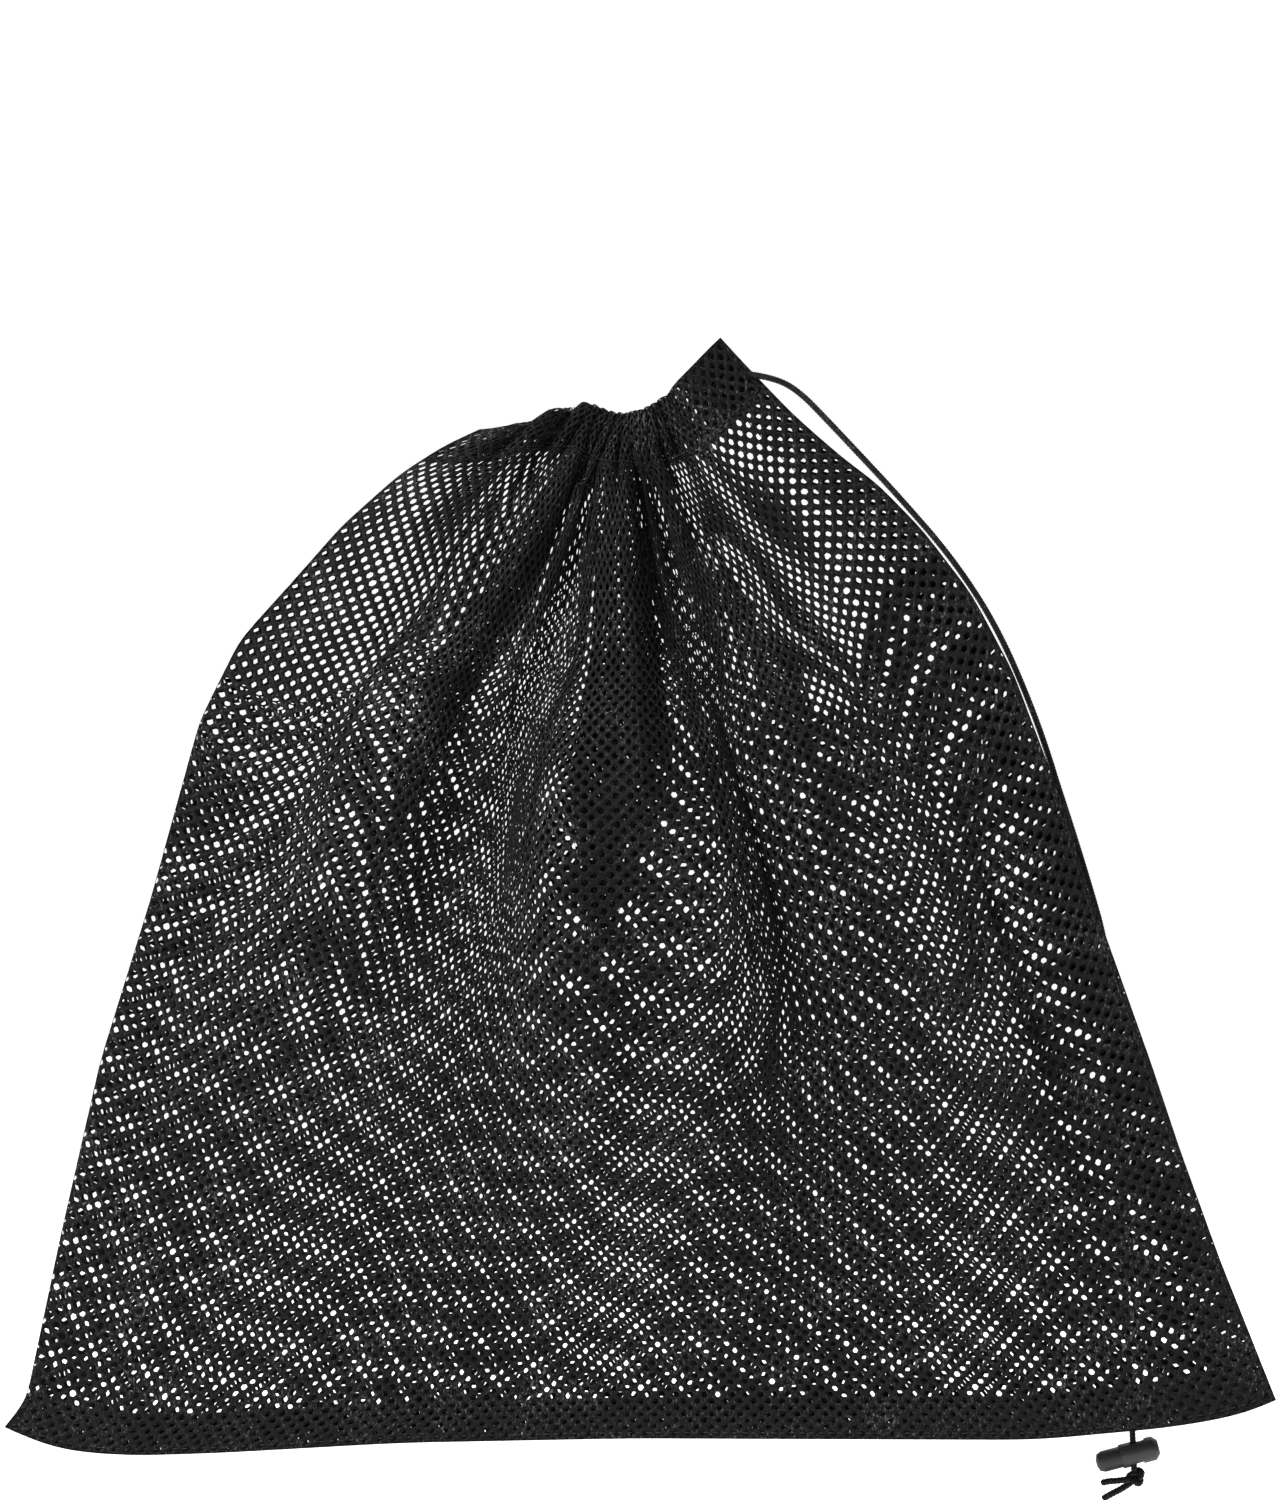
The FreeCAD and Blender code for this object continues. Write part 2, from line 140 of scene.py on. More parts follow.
# ---------------------------------------------------------------- materials
def new_material(name, roughness, specular=0.5):
    material = bpy.data.materials.new(name)
    material.use_nodes = True
    shader = material.node_tree.nodes["Principled BSDF"]
    shader.inputs["Roughness"].default_value = roughness
    shader.inputs["Specular IOR Level"].default_value = specular
    return material, material.node_tree, shader


def node(tree, kind, **values):
    made = tree.nodes.new(kind)
    for name, value in values.items():
        socket = name.replace("_", " ")
        if socket in made.inputs:
            made.inputs[socket].default_value = value
        else:
            setattr(made, name, value)
    return made


def noise(tree, scale, detail=3.0, stretch=None):
    """Noise in the object's own metres, so that it has a real size; stretch pulls it along an axis."""
    places = node(tree, "ShaderNodeTexCoord").outputs["Object"]
    if stretch:
        mapping = node(tree, "ShaderNodeMapping", Scale=stretch)
        tree.links.new(places, mapping.inputs["Vector"])
        places = mapping.outputs["Vector"]
    made = node(tree, "ShaderNodeTexNoise", Scale=scale, Detail=detail)
    tree.links.new(places, made.inputs["Vector"])
    return made.outputs["Fac"]


def ramp(tree, factor, stops):
    made = node(tree, "ShaderNodeValToRGB")
    elements = made.color_ramp.elements
    for element, (place, grey) in zip(elements, (stops[0], stops[-1])):
        element.position, element.color = place, (*([grey] * 3), 1)
    for place, grey in stops[1:-1]:
        elements.new(place).color = (*([grey] * 3), 1)
    tree.links.new(factor, made.inputs["Fac"])
    return made.outputs["Color"]


def bumpy(tree, shader, height, distance, strength=1.0):
    made = node(tree, "ShaderNodeBump", Strength=strength, Distance=distance)
    tree.links.new(height, made.inputs["Height"])
    tree.links.new(made.outputs["Normal"], shader.inputs["Normal"])


def yarn_material(name, dark, light, fibre_scale):
    """Filament yarn: dark, with a painted highlight of light glints on its fine filaments, a slow
    change of shade and a fibre bump.
    """
    material, tree, shader = new_material(name, 0.62, 0.13)
    fibres = noise(tree, fibre_scale, 2.0, (1.0, 1.0, 0.45))
    shade = noise(tree, 55.0, 2.0)
    both = node(tree, "ShaderNodeMath", operation="MULTIPLY")
    tree.links.new(fibres, both.inputs[0])
    tree.links.new(ramp(tree, shade, [(0.3, 0.85), (0.7, 1.1)]), both.inputs[1])
    # the ramp's light end is a painted highlight (glints on the filaments) over the yarn's own dark
    # tone
    colour = ramp(tree, both.outputs[0], [(0.46, dark), (0.60, dark * 3), (0.72, light)])
    tree.links.new(colour, shader.inputs["Base Color"])
    tree.links.new(ramp(tree, fibres, [(0.35, 0.75), (0.7, 0.48)]), shader.inputs["Roughness"])
    shader.inputs["Sheen Weight"].default_value = 0.03
    shader.inputs["Sheen Roughness"].default_value = 0.4
    bumpy(tree, shader, fibres, 0.3 * MM)
    return material


def plastic_material(name, grey, roughness, scuff):
    """Moulded plastic: a faint spark-eroded grain and small rubbed patches."""
    material, tree, shader = new_material(name, roughness)
    rubbed = noise(tree, 700.0, 4.0)
    tree.links.new(ramp(tree, rubbed, [(0.35, grey), (0.75, grey * scuff)]),
                   shader.inputs["Base Color"])
    tree.links.new(ramp(tree, rubbed, [(0.3, roughness), (0.8, roughness + 0.15)]),
                   shader.inputs["Roughness"])
    bumpy(tree, shader, noise(tree, 5200.0, 2.0), 0.03 * MM, 0.6)
    return material


def steel_material():
    material, tree, shader = new_material("spring_wire", 0.3)
    shader.inputs["Metallic"].default_value = 1.0
    tree.links.new(ramp(tree, noise(tree, 3000.0), [(0.3, 0.42), (0.7, 0.6)]),
                   shader.inputs["Base Color"])
    return material


# the third value of each yarn is the grey of its painted highlight glints
MESH_YARN = yarn_material("mesh_yarn", 0.002, 0.075, 1700.0)
CORD_YARN = yarn_material("cord_yarn", 0.002, 0.07, 2400.0)
THREAD = yarn_material("sewing_thread", 0.012, 0.06, 5200.0)
BARREL_PLASTIC = plastic_material("barrel_plastic", 0.0085, 0.42, 1.6)
PLUNGER_PLASTIC = plastic_material("plunger_plastic", 0.0045, 0.5, 1.6)
STEEL = steel_material()


# ---------------------------------------------------------------- mesh helpers
def mesh_object(name, points, faces, material):
    """A smooth object from arrays of points and of faces, all of the same number of corners."""
    data = bpy.data.meshes.new(name)
    faces = np.asarray(faces, np.int32)
    count, corners = faces.shape
    data.vertices.add(len(points))
    data.vertices.foreach_set("co", np.asarray(points, np.float32).ravel())
    data.loops.add(count * corners)
    data.loops.foreach_set("vertex_index", faces.ravel())
    data.polygons.add(count)
    data.polygons.foreach_set("loop_start", np.arange(0, count * corners, corners, dtype=np.int32))
    data.polygons.foreach_set("use_smooth", np.full(count, True))
    data.update(calc_edges=True)
    data.validate()
    data.materials.append(material)
    made = bpy.data.objects.new(name, data)
    SCENE.collection.objects.link(made)
    return made


def smoothstep(low, high, value):
    share = np.clip((value - low) / (high - low), 0, 1)
    return share * share * (3 - 2 * share)


# ---------------------------------------------------------------- the cloth's own plane shape
# The bag hangs as a fan in the XZ plane: its outline is four curves, given in millimetres.
CLOTH_WIDE, CLOTH_HIGH = 400 * MM, 360 * MM      # one side, laid flat, hem included
HEM_HIGH = 20 * MM
ALLOWANCE, BASE_ALLOWANCE = 13 * MM, 15 * MM
LEFT_FOLD = [(-46.9, 3.1), (-58, -2), (-71.9, -10.9), (-90, -27), (-106.3, -45.3),
             (-121.9, -62.5), (-134.4, -87.5), (-150, -143.8), (-165.6, -193.8),
             (-178, -248), (-187.5, -293), (-189, -300), (-195.8, -308.3)]
SIDE_SEAM = [(28.1, 31.9), (35.9, 23.4), (50.3, 8.4), (59.5, 0.2), (68.7, -7.4), (77.2, -13.6),
             (91.6, -28.4), (106.9, -48.4), (119.6, -72.3), (129.2, -97.8), (134.4, -111),
             (139.6, -128.1), (146.9, -150), (162.5, -193.8), (171.9, -221.9), (184.4, -256.3),
             (196.9, -287.5), (201.9, -300)]
# Share of the cloth's width, then across and up: the mouth's rim and the base.
RIM = [(0, -46.9, 3.1), (0.05, -34, 3.6), (0.10, -23.4, 8.6), (0.17, -13, 10.5),
       (0.34, -6, 8), (0.5, -1, 7), (0.70, 4, 8), (0.88, 9, 11.5), (0.93, 12.5, 14.8),
       (0.965, 19.5, 23.5), (1, 28.1, 31.9)]
BASE = [(0, -195.5, -308.5), (0.04, -180, -315.5), (0.1, -157, -317.5), (0.17, -129, -316.6),
        (0.31, -72, -313.4), (0.5, 0, -312), (0.82, 127, -312.5), (0.93, 171, -308.4),
        (0.985, 197, -303.6), (1, 201.9, -300)]
GRID_ACROSS, GRID_DOWN = 401, 361                # one point per millimetre of cloth


def soften(values, width):
    """Moving average along the first axis that keeps the two ends."""
    for _ in range(3):
        padded = np.concatenate([2 * values[:1] - values[width:0:-1], values,
                                 2 * values[-1:] - values[-2:-width - 2:-1]])
        kernel = np.ones(2 * width + 1) / (2 * width + 1)
        values = np.stack([np.convolve(column, kernel, "valid") for column in padded.T], 1)
    return values


def along(points, count):
    """A polyline's points at even steps of its length, with softened corners."""
    points = np.array(points, float) * MM
    lengths = np.concatenate([[0], np.cumsum(np.linalg.norm(np.diff(points, axis=0), axis=1))])
    steps = np.linspace(0, lengths[-1], count)
    return soften(np.stack([np.interp(steps, lengths, axis) for axis in points.T], 1), 3)


def at_shares(table, count):
    """A rim or base curve at even shares of the cloth's width, with softened corners."""
    table = np.array(table, float)
    shares = np.linspace(0, 1, count)
    curve = np.stack([np.interp(shares, table[:, 0], axis) for axis in table[:, 1:].T], 1) * MM
    return soften(curve, 7)


# Where the cloth lies spread out instead of gathered: place across, reach to either side, how
# much more room it takes than the rest, and where down the cloth that grows and dies.
SPREAD = [(0.05, 0.075, 1.0, (0.0, 0.06), (0.30, 0.60)),
          (0.235, 0.035, 0.8, (0.01, 0.08), (0.30, 0.60)),
          (0.88, 0.10, 0.9, (0.0, 0.06), (0.30, 0.60)),
          (0.50, 0.045, 1.1, (0.01, 0.07), (0.35, 0.70))]
SAG = 24 * MM                                    # the middle hangs lower than the two sides


def spread_shares():
    """For each row, how far across the fan each column of the cloth stands."""
    u, v = np.linspace(0, 1, GRID_ACROSS)[None], np.linspace(0, 1, GRID_DOWN)[:, None]
    room = np.ones((GRID_DOWN, GRID_ACROSS))
    for place, reach, more, grows, dies in SPREAD:
        near = np.exp(-((u - place) / reach) ** 2)
        room += more * near * smoothstep(*grows, v) * (1 - smoothstep(*dies, v))
    between_columns = (room[:, 1:] + room[:, :-1]) / 2
    total = np.concatenate([np.zeros((GRID_DOWN, 1)), np.cumsum(between_columns, 1)], 1)
    return (total / total[:, -1:])[..., None]


def fan():
    """The cloth's XZ places before any fold, on the grid: down the first axis, across the second."""
    left, right = along(LEFT_FOLD, GRID_DOWN), along(SIDE_SEAM, GRID_DOWN)
    rim, base = at_shares(RIM, GRID_ACROSS), at_shares(BASE, GRID_ACROSS)
    u = np.linspace(0, 1, GRID_ACROSS)[None, :, None]
    v = np.linspace(0, 1, GRID_DOWN)[:, None, None]
    share = spread_shares()
    sides = (1 - share) * left[:, None] + share * right[:, None]
    ends = (1 - v) * rim[None] + v * base[None]
    corners = ((1 - u) * (1 - v) * left[0] + u * (1 - v) * right[0]
               + (1 - u) * v * left[-1] + u * v * right[-1])
    sag = SAG * (1 - abs(2 * share - 1) ** 2.6)
    sag = sag * smoothstep(0, 0.25, v) * (1 - smoothstep(0.55, 1, v))
    return sides + ends - corners - sag * (0, 1)


FAN = fan()


# ---------------------------------------------------------------- folds
# Each family of folds: how many across the cloth, where down the cloth it grows in and dies out,
# its share of the slack, and how much further down single folds of it may reach.
RIDGE_PLACE = 0.51                               # share of the width where all families crest
FOLDS = {
    FRONT: [(15.4, (-0.2, -0.1), (0.03, 0.12), 0.7, 0.02),
            (2.6, (0.14, 0.50), (0.6, 1.0), 0.45, 0.10)],
    BACK: [(14.2, (-0.2, -0.1), (0.03, 0.13), 0.7, 0.02),
           (6.3, (0.02, 0.14), (0.22, 0.50), 0.6, 0.14),
           (3.4, (0.12, 0.45), (0.6, 1.0), 0.6, 0.10)],
}
# Single ridges that fan out from the grip: place at the top and at the foot, half width to the
# left and to the right (all shares of the width), height, and where down the cloth each runs.
RIDGES = {
    FRONT: [(0.27, 0.17, 0.042, 0.034, 10, (0.01, 0.08), (0.34, 0.62)),
            (0.365, 0.25, 0.028, 0.024, 8, (0.02, 0.09), (0.20, 0.36)),
            (0.515, 0.515, 0.075, 0.017, 18, (0.02, 0.09), (0.46, 0.92)),
            (0.61, 0.63, 0.018, 0.026, 6, (0.02, 0.08), (0.12, 0.24)),
            (0.77, 0.69, 0.026, 0.030, 6, (0.01, 0.08), (0.14, 0.26)),
            (0.76, 0.83, 0.034, 0.026, 6, (0.10, 0.20), (0.30, 0.48))],
    BACK: [(0.46, 0.44, 0.030, 0.070, 12, (0.02, 0.09), (0.30, 0.90))],
}
# Where the gathered cloth is doubled under itself behind a ridge: its place at the top and at the
# foot, its half width, and where down the cloth it starts and ends.
TUCKS = [(0.27, 0.18, 0.045, 0.06, 0.44), (0.37, 0.25, 0.028, 0.06, 0.25),
         (0.507, 0.507, 0.050, 0.06, 0.52), (0.77, 0.69, 0.028, 0.06, 0.23),
         (0.77, 0.83, 0.028, 0.15, 0.36)]
# Smooth patches between the folds: place across and down, and their reach both ways.
CALM = [(0.07, 0.17, 0.06, 0.10), (0.88, 0.20, 0.07, 0.09), (0.86, 0.09, 0.07, 0.05)]
POCKET = (0.425, 0.092, 0.021, 0.040)            # the small hollow under the grip: the same four
POCKET_LIP, POCKET_DEEP = 4.0 * MM, 3.0 * MM
BELLY = {FRONT: 9 * MM, BACK: 7 * MM}
LOBE = {FRONT: 8 * MM, BACK: 7 * MM}
RUFFLE = 1.6 * MM                                # how far the folds lift and drop the rim
# Waves that make the folds uneven: height, turns across and down the cloth, and the phase's
# difference between front and back. The first two shift the folds, the last changes their depth.
WARPS = [(0.014, 1.3, 0.35, 0.5), (0.009, 3.1, -0.8, 1.0)]
UNEVEN = (0.25, 1.7, 0.3, 0.8)
PLY_CLEAR = 0.9 * MM                             # each side stands off the bag's middle plane
SIDE_ROUND, BASE_ROUND = 0.045, 0.10             # shares over which the bag closes at its edges


def calm(u, v):
    return sum(np.exp(-((u - a) / c) ** 2 - ((v - b) / d) ** 2) for a, b, c, d in CALM).clip(0, 1)


def wave(u, v, side, height, across, down, phase):
    return height * np.sin(2 * math.pi * (across * u + down * v) + phase * side)


def ridge_line(top, foot, v):
    """A ridge's place across the cloth: it fans out from the grip, then leans left further down."""
    return top + (foot - top) * smoothstep(0, 0.3, v) - 0.13 * np.maximum(v - 0.32, 0)


def cloth_grid(side):
    """One side of the bag as a grid of points: the fan with folds that take up the slack."""
    u = np.linspace(0, 1, GRID_ACROSS)[None, :]
    v = np.linspace(0, 1, GRID_DOWN)[:, None]
    run = np.gradient(FAN, 1 / (GRID_ACROSS - 1), axis=1)
    stretch = np.maximum(np.linalg.norm(run, axis=2), 1e-4)
    ahead = run / stretch[..., None]
    slack = np.sqrt(2 * np.maximum(CLOTH_WIDE ** 2 - stretch ** 2, 0)) / (2 * math.pi)
    warp = sum(wave(u, v, side, *values) for values in WARPS)
    uneven = 1 + wave(u, v, side, *UNEVEN)
    tuck = 0.25 + 0.55 * smoothstep(0.05, 0.16, v) * (1 - smoothstep(0.3, 0.7, v))
    depth = np.zeros_like(slack)
    sway = np.zeros_like(slack)
    ruffle = np.zeros_like(slack)
    for count, grows, dies, share, reach in FOLDS[side]:
        own = v - reach * np.sin(2 * math.pi * (2.7 * u + 0.13 * count) + side)
        weight = smoothstep(*grows, v) * (1 - smoothstep(*dies, own))
        weight = weight * share * uneven * (1 - 0.85 * calm(u, v))
        swing = weight * slack / count
        phase = 2 * math.pi * count * (u + warp - RIDGE_PLACE)
        depth += swing * (1 + np.cos(phase))
        sway += tuck * swing * np.sin(phase)
        ruffle += RUFFLE * weight * np.cos(phase + 0.7) * (1 - smoothstep(0, 0.07, v))
    for top, foot, left, right, height, grows, dies in RIDGES[side]:
        off = u - ridge_line(top, foot, v)
        width = np.where(off < 0, left, right) * (1 + 0.8 * v)
        present = smoothstep(*grows, v) * (1 - smoothstep(*dies, v))
        depth += height * MM * np.exp(-(off / width) ** 2) * present
    edge = np.minimum(u, 1 - u)
    depth += BELLY[side] * np.sin(math.pi * v ** 0.8) * np.sin(math.pi * u) ** 0.6
    lobes = np.exp(-((u - 0.06) / 0.05) ** 2) + 0.8 * np.exp(-((u - 0.93) / 0.045) ** 2)
    depth += LOBE[side] * lobes * (1 - smoothstep(0.0, 0.35, v))
    depth += PLY_CLEAR
    depth *= np.sqrt(1 - (1 - np.minimum(edge / SIDE_ROUND, 1)) ** 2)
    depth *= np.sqrt(np.maximum(1 - np.clip((v - 1 + BASE_ROUND) / BASE_ROUND, 0, 1) ** 2, 0))
    sway *= smoothstep(0, 0.05, edge) * (1 - smoothstep(0.9, 1.0, v))
    flat = FAN + ahead * sway[..., None]
    middle = smoothstep(0.02, 0.12, edge)
    return np.stack([flat[..., 0], -side * depth, flat[..., 1] + ruffle * middle], -1)


class Surface:
    """A grid of points that can be read anywhere, by metres across and metres down the cloth."""

    def __init__(self, grid):
        self.grid = grid

    def at(self, across, down):
        rows, columns = self.grid.shape[:2]
        x = np.clip(across / CLOTH_WIDE, 0, 1) * (columns - 1)
        y = np.clip(down / CLOTH_HIGH, 0, 1) * (rows - 1)
        i, j = np.minimum(x.astype(int), columns - 2), np.minimum(y.astype(int), rows - 2)
        s, t = (x - i)[..., None], (y - j)[..., None]
        grid = self.grid
        return ((grid[j, i] * (1 - s) + grid[j, i + 1] * s) * (1 - t)
                + (grid[j + 1, i] * (1 - s) + grid[j + 1, i + 1] * s) * t)

    def normal(self, across, down, reach=1.2 * MM):
        """Unit normals: out of the bag on the front, into it on the back."""
        run = self.at(across + reach, down) - self.at(across - reach, down)
        fall = self.at(across, down + reach) - self.at(across, down - reach)
        made = np.cross(fall, run)
        return made / np.maximum(np.linalg.norm(made, axis=-1, keepdims=True), 1e-9)


# ---------------------------------------------------------------- cloth simulation
SIM_STEP = 4                                     # millimetres of cloth from point to point
SIM_FRAMES = 36
PINNED_DOWN = 22 * MM                            # the hem is held by the drawcord and the grip
PIN_EDGE = 1 * MM                                # so much at the two sides and the base is held
DEPTH_LIMIT = {FRONT: 46 * MM, BACK: 30 * MM}


def flat_cut(columns, rows):
    """The unfolded cloth, which gives the simulation its rest lengths."""
    across = np.abs(np.linspace(-CLOTH_WIDE, CLOTH_WIDE, columns))
    around = np.linspace(-CLOTH_WIDE, CLOTH_WIDE, columns)
    down = np.linspace(0, CLOTH_HIGH, rows)
    x, z = np.meshgrid(around, -down)
    return np.stack([x, np.zeros_like(x), z], -1), across, down


def simulate(grids):
    """Lets both sides settle as one bag, held at its hem, outline and base."""
    coarse = {side: grid[::SIM_STEP, ::SIM_STEP] for side, grid in grids.items()}
    start = np.concatenate([coarse[FRONT][:, ::-1], coarse[BACK][:, 1:]], 1)
    rows, columns = start.shape[:2]
    rest, across, down = flat_cut(columns, rows)
    index = np.arange(rows * columns).reshape(rows, columns)
    faces = np.stack([index[:-1, :-1], index[1:, :-1], index[1:, 1:], index[:-1, 1:]], -1)
    bag = mesh_object("cloth_in_simulation", start.reshape(-1, 3), faces.reshape(-1, 4), MESH_YARN)
    bag.shape_key_add(name="start")
    cut = bag.shape_key_add(name="cut")
    cut.data.foreach_set("co", rest.reshape(-1, 3).astype(np.float32).ravel())
    held = bag.vertex_groups.new(name="held")
    pinned = ((down[:, None] <= PINNED_DOWN) | (across[None] >= CLOTH_WIDE - PIN_EDGE)
              | (across[None] < PIN_EDGE) | (down[:, None] >= CLOTH_HIGH - PIN_EDGE))
    soft = 0.45 + 0.4 * (1 - smoothstep(0.06, 0.45, down / CLOTH_HIGH))
    for row, weight in zip(index, soft):
        held.add([int(i) for i in row], float(weight), "REPLACE")
    held.add([int(i) for i in index[pinned]], 1.0, "REPLACE")
    cloth = bag.modifiers.new("cloth", "CLOTH")
    settings = cloth.settings
    settings.quality = 7
    settings.mass = 0.02
    settings.tension_stiffness = settings.compression_stiffness = 12
    settings.shear_stiffness = 4
    settings.bending_stiffness = 0.35
    settings.tension_damping = settings.compression_damping = settings.shear_damping = 8
    settings.air_damping = 4
    settings.vertex_group_mass = held.name
    settings.rest_shape_key = cut
    settings.use_pressure = True
    settings.uniform_pressure_force = 0.15
    settings.effector_weights.gravity = 0.25
    cloth.collision_settings.use_collision = False
    cloth.point_cache.frame_start, cloth.point_cache.frame_end = 1, SIM_FRAMES
    for frame_number in range(1, SIM_FRAMES + 1):
        SCENE.frame_set(frame_number)
    settled = bag.evaluated_get(bpy.context.evaluated_depsgraph_get()).data
    points = np.empty(rows * columns * 3, np.float32)
    settled.vertices.foreach_get("co", points)
    points = points.reshape(rows, columns, 3).astype(float)
    SCENE.frame_set(1)
    bpy.data.objects.remove(bag)
    half = columns // 2
    made = {FRONT: points[:, half::-1], BACK: points[:, half:]}
    for side, grid in made.items():
        depth = np.clip(-side * grid[..., 1], 0, DEPTH_LIMIT[side])
        grid[..., 1] = -side * depth
        made[side] = finer(grid)
    return made


def finer(grid):
    """The settled grid at the fine step again, on smooth curves through its points."""
    for axis in (0, 1):
        grid = np.moveaxis(grid, axis, 0)
        last = len(grid) - 1
        places = np.arange(last * SIM_STEP + 1) / SIM_STEP
        i = np.minimum(places.astype(int), last - 1)
        t = (places - i)[:, None, None]
        a, b, c, d = (grid[np.clip(i + k, 0, last)] for k in (-1, 0, 1, 2))
        grid = (b + 0.5 * t * (c - a + t * (2 * a - 5 * b + 4 * c - d + t * (3 * (b - c) + d - a))))
        grid = np.moveaxis(grid, 0, axis)
    return grid


GRIDS = {side: cloth_grid(side) for side in (FRONT, BACK)}
GRIDS = simulate(GRIDS)


def press_pocket(grid):
    """A teardrop hollow with a raised lip, in the front just under the grip."""
    place, down, wide, high = POCKET
    u = np.linspace(0, 1, grid.shape[1])[None, :]
    v = np.linspace(0, 1, grid.shape[0])[:, None]
    away = np.sqrt(((u - place) / (wide * (1 + 6 * (v - down)))) ** 2 + ((v - down) / high) ** 2)
    lip = POCKET_LIP * np.exp(-((away - 1) / 0.36) ** 2)
    hollow = POCKET_DEEP * np.exp(-(away / 0.6) ** 2)
    grid[..., 1] -= lip - hollow


press_pocket(GRIDS[FRONT])
SURFACES = {side: Surface(grid) for side, grid in GRIDS.items()}


# ---------------------------------------------------------------- knitted lattice
STEP = 2.3 * MM                                  # half of the pattern's repeat
YARN_HALF = 0.3 * MM
HOLE = (1.05 * MM, 0.99 * MM)                    # half width and half height
DRIFT_CELLS = 60                                 # spare cells for a pattern that drifts
WANDER = 0.05 * MM                               # how far the yarn between holes strays
HOLE_WANDER, HOLE_UNEVEN = 0.06 * MM, 0.06       # how far a hole strays, and how its size varies
SLIVER = 2e-9                                    # twice the area, in m2, of a face too thin to keep
HEX = [(1, 0), (0.52, -1), (-0.52, -1), (-1, 0), (-0.52, 1), (0.52, 1)]


def lattice(place, across, down, margins, seed, shift=(0.0, 0.0), drift=None, keep=(-1, 1),
            open_share=1.0):
    """Points and faces of knitted mesh: a hole in each cell, yarn that is thick between holes.

    place(across, down, height) gives points; across and down are (low, high) of the region;
    margins are how much solid yarn its left, right, upper and lower edges keep; shift moves the
    pattern by shares of a step and drift(across, down) by metres, so that the holes of two plies
    don't meet; keep is the (low, high) across of the cells that are built; open_share makes the
    holes smaller where the cloth is drawn together.
    """
    random = np.random.default_rng(seed)
    columns = int(round((across[1] - across[0]) / STEP))
    rows = int(round((down[1] - down[0]) / STEP))
    step = np.array([(across[1] - across[0]) / columns, (down[1] - down[0]) / rows])
    low, high = np.array([across[0], down[0]]), np.array([across[1], down[1]])
    spare = 1 if drift is None else DRIFT_CELLS
    k, j = np.meshgrid(np.arange(-spare, columns + spare + 1), np.arange(-spare, rows + spare + 1))
    moved = low + (np.stack([k, j], -1) + shift) * step
    if drift is not None:
        moved = moved + drift(moved[..., 0], moved[..., 1])
    wander = random.normal(0, WANDER, moved.shape)
    spots = np.clip(moved + wander, low, high).reshape(-1, 2)
    number = np.arange(k.size).reshape(k.shape)
    inside = (k + j) % 2 == 0
    inside &= (moved > low - 0.98 * step).all(-1) & (moved < high + 0.98 * step).all(-1)
    inside &= (moved[..., 0] >= keep[0]) & (moved[..., 0] < keep[1])
    inside[[0, -1]] = inside[:, [0, -1]] = False
    centres = np.argwhere(inside)
    top, left = number[centres[:, 0] - 1, centres[:, 1]], number[centres[:, 0], centres[:, 1] - 1]
    foot, right = number[centres[:, 0] + 1, centres[:, 1]], number[centres[:, 0], centres[:, 1] + 1]
    middle = moved[centres[:, 0], centres[:, 1]]
    middle = middle + random.normal(0, HOLE_WANDER, middle.shape)
    sizes = random.normal(1, HOLE_UNEVEN, (len(middle), 1, 2))
    holes = middle[:, None] + np.array(HEX)[None] * np.array(HOLE) * sizes * open_share
    holes = np.clip(holes, low + (margins[0], margins[2]), high - (margins[1], margins[3]))
    first = 2 * len(spots)
    ring = first + np.arange(len(middle) * 6).reshape(-1, 6)
    points = np.concatenate([place(spots[:, 0], spots[:, 1], YARN_HALF),
                             place(spots[:, 0], spots[:, 1], -YARN_HALF),
                             place(holes[..., 0].ravel(), holes[..., 1].ravel(), 0 * MM)])
    faces = []
    for skip, flip in ((0, False), (len(spots), True)):
        a, b, c, d = right + skip, top + skip, left + skip, foot + skip
        r = [ring[:, i] for i in range(6)]
        made = [(a, b, r[1]), (a, r[1], r[0]), (b, r[2], r[1]), (b, c, r[3]), (b, r[3], r[2]),
                (c, d, r[4]), (c, r[4], r[3]), (d, r[5], r[4]), (d, a, r[0]), (d, r[0], r[5])]
        for corners in made:
            faces.append(np.stack(corners[::-1] if flip else corners, -1))
    faces = np.concatenate(faces)
    a, b, c = (points[faces[:, i]] for i in range(3))
    faces = faces[np.linalg.norm(np.cross(b - a, c - a), axis=1) > SLIVER]
    used, faces = np.unique(faces, return_inverse=True)
    return points[used], faces.reshape(-1, 3)


def join(parts):
    """Several (points, faces) pairs as one."""
    points, faces, start = [], [], 0
    for part_points, part_faces in parts:
        points.append(part_points)
        faces.append(part_faces + start)
        start += len(part_points)
    return np.concatenate(points), np.concatenate(faces)


def on_cloth(side, inward=None):
    """A place function for the lattice: on one side's cloth, or moved into the bag by inward."""
    surface = SURFACES[side]

    def place(across, down, height):
        normal = surface.normal(across, down)
        move = height * np.ones(len(across))
        if inward is not None:
            move = move - side * inward(across, down)
        return surface.at(across, down) + normal * move[:, None]
    return place


def between(level):
    """A place function for cloth that stands between the two sides."""
    front, back = SURFACES[FRONT], SURFACES[BACK]

    def place(across, down, height):
        middle = (front.at(across, down) + back.at(across, down)) / 2
        ripple = 0.25 * MM * np.sin(across * 150) * np.sin(down * 130)
        middle[:, 1] = level + height + ripple
        return middle
    return place


HEM_ROOM, HEM_CLOSED = 2.0 * MM, 0.1 * MM         # between the hem's plies: middle and edges


def hem_inset(_across, down):
    """How far the hem's inner ply stands off its outer one: room for the cord."""
    arch = np.clip(np.sin(math.pi * np.clip(down / HEM_HIGH, 0, 1)), 0, 1)
    return HEM_ROOM * np.sqrt(arch) + HEM_CLOSED


GRAIN_TURN = 0.32                                # slope of the back's grain against the front's
NET_AREA, DENSE_AREA = 0.74, 0.84                # yarn's share of flat cloth, just over its plan area
DENSE_HOLES = 0.8                                # size of the holes in the dense cloth of the base


def declare_cloth(piece, cad_node, net=NET_AREA):
    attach(piece, "bag")
    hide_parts(cad_node)


